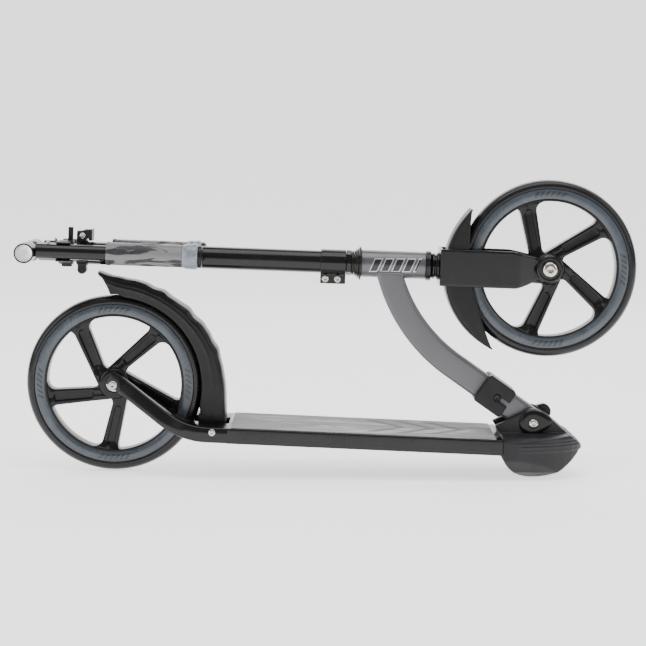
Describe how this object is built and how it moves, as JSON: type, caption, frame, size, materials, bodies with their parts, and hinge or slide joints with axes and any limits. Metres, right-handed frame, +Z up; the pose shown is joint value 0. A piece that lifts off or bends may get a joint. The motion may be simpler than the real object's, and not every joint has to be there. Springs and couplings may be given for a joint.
{
  "type": "folding kick scooter",
  "caption": "Kick scooter with big moulded wheels, folded: flat gritted deck, foot brake over the rear wheel, and a steering column with clipped-down grips lying back over the deck.",
  "frame": {"origin": "on the ground, in the middle of the folded scooter's length and width", "axes": "+X forward along the deck (longest), +Y to the rider's left (shortest), +Z up"},
  "size_m": [0.8706, 0.1486, 0.4171],
  "materials": {
    "blackPaint": "gloss",
    "blackAlloy": "gloss black paint",
    "blackPlastic": "satin",
    "castGrey": "matte dark grey paint",
    "greyMetal": "satin metallic grey paint",
    "bareSteel": "plated",
    "tyreBlack": "smooth",
    "tapeGrey": "gritty",
    "gripGrey": "matte, smoky",
    "flangeGrey": "translucent"
  },
  "bodies": {
    "deck": {"deck": "blackAlloy", "grip_tape": "tapeGrey", "neck_casting": "castGrey", "hinge_cover_near": "blackPlastic", "hinge_cover_far": "blackPlastic", "fold_pivot_bolt": "bareSteel", "fold_pivot_nut": "bareSteel", "rear_axle": "bareSteel", "rear_axle_nut": "bareSteel", "brake_pin": "bareSteel"},
    "rear_wheel": {"rear_tyre": "tyreBlack", "rear_rim": "blackPlastic", "rear_bearing_near": "bareSteel", "rear_bearing_far": "bareSteel", "rear_bearing_spacer": "bareSteel"},
    "brake": {"rear_mudguard": "blackPlastic", "brake_pad": "blackPlastic"},
    "fold_lever": {"fold_lever": "blackPlastic"},
    "stem": {"stem": "greyMetal", "head_tube": "greyMetal", "headset_lower_cup": "blackPaint", "headset_upper_cup": "blackPaint"},
    "latch": {"latch_sleeve": "blackPlastic", "latch_screw": "blackPaint"},
    "steering": {"fork": "blackAlloy", "crown_race": "blackPaint", "headset_washer": "bareSteel", "headset_locknut": "blackPaint", "outer_column": "blackPaint", "column_clamp": "blackPaint", "column_clamp_screw_1": "bareSteel", "column_clamp_screw_2": "bareSteel", "fork_cap_near": "blackPaint", "fork_cap_far": "blackPaint", "front_axle": "bareSteel", "front_axle_nut": "bareSteel", "front_mudguard": "blackPlastic", "height_clamp": "blackPlastic", "height_clamp_bolt": "bareSteel"},
    "front_wheel": {"front_tyre": "tyreBlack", "front_rim": "blackPlastic", "front_bearing_near": "bareSteel", "front_bearing_far": "bareSteel", "front_bearing_spacer": "bareSteel"},
    "height_lever": {"height_lever": "blackPlastic"},
    "upper_column": {"inner_column": "blackPaint", "handlebar_tee": "blackPaint", "grip_holder": "blackPlastic"},
    "near_handle": {"near_handle_tube": "blackPaint", "near_grip": "gripGrey", "near_grip_flange": "flangeGrey", "near_grip_end": "blackPlastic"},
    "far_handle": {"far_handle_tube": "blackPaint", "far_grip": "gripGrey", "far_grip_flange": "flangeGrey", "far_grip_end": "blackPlastic"},
    "near_snap_button": {"near_snap_button": "bareSteel"},
    "far_snap_button": {"far_snap_button": "bareSteel"}
  },
  "joints": [
    {"name": "rear_wheel_spin", "type": "hinge", "parent": "deck", "child": "rear_wheel", "pos_m": [-0.30168, 0, 0.125], "axis": [0, 1, 0], "continuous": true},
    {"name": "brake_press", "type": "hinge", "parent": "deck", "child": "brake", "pos_m": [-0.15968, 0, 0.06546], "axis": [0, 1, 0], "range_deg": [-2.4, 0], "stiffness_Nm_per_rad": 6, "springref_deg": 5.73},
    {"name": "fold_lever_turn", "type": "hinge", "parent": "deck", "child": "fold_lever", "pos_m": [0.29032, 0, 0.075], "axis": [0, 1, 0], "range_deg": [-110, 0]},
    {"name": "fold", "type": "hinge", "parent": "deck", "child": "stem", "pos_m": [0.29032, 0, 0.075], "axis": [0, 1, 0], "range_deg": [0, 81]},
    {"name": "latch_pull", "type": "slide", "parent": "stem", "child": "latch", "axis": [-0.8191, 0, 0.5736], "range_m": [0, 0.008], "stiffness_N_per_m": 300, "springref_m": -0.01},
    {"name": "steer", "type": "hinge", "parent": "stem", "child": "steering", "pos_m": [0.15632, 0, 0.2942], "axis": [-0.9996, 0, 0.0295], "range_deg": [-20, 20]},
    {"name": "front_wheel_spin", "type": "hinge", "parent": "steering", "child": "front_wheel", "pos_m": [0.31033, 0, 0.29216], "axis": [0, 1, 0], "continuous": true},
    {"name": "height_lever_turn", "type": "hinge", "parent": "steering", "child": "height_lever", "pos_m": [-0.34473, 0, 0.33399], "axis": [0, 1, 0], "range_deg": [-100, 0]},
    {"name": "height_slide", "type": "slide", "parent": "steering", "child": "upper_column", "axis": [-0.9996, 0, 0.0295], "range_m": [0, 0.18]},
    {"name": "near_handle_pull", "type": "slide", "parent": "upper_column", "child": "near_handle", "axis": [0, -1, 0], "range_m": [0, 0.06]},
    {"name": "far_handle_pull", "type": "slide", "parent": "upper_column", "child": "far_handle", "axis": [0, 1, 0], "range_m": [0, 0.06]},
    {"name": "near_snap_press", "type": "slide", "parent": "near_handle", "child": "near_snap_button", "axis": [-0.0295, 0, -0.9996], "range_m": [0, 0.0025], "stiffness_N_per_m": 300, "springref_m": -0.002},
    {"name": "far_snap_press", "type": "slide", "parent": "far_handle", "child": "far_snap_button", "axis": [-0.0295, 0, -0.9996], "range_m": [0, 0.0025], "stiffness_N_per_m": 300, "springref_m": -0.002}
  ]
}
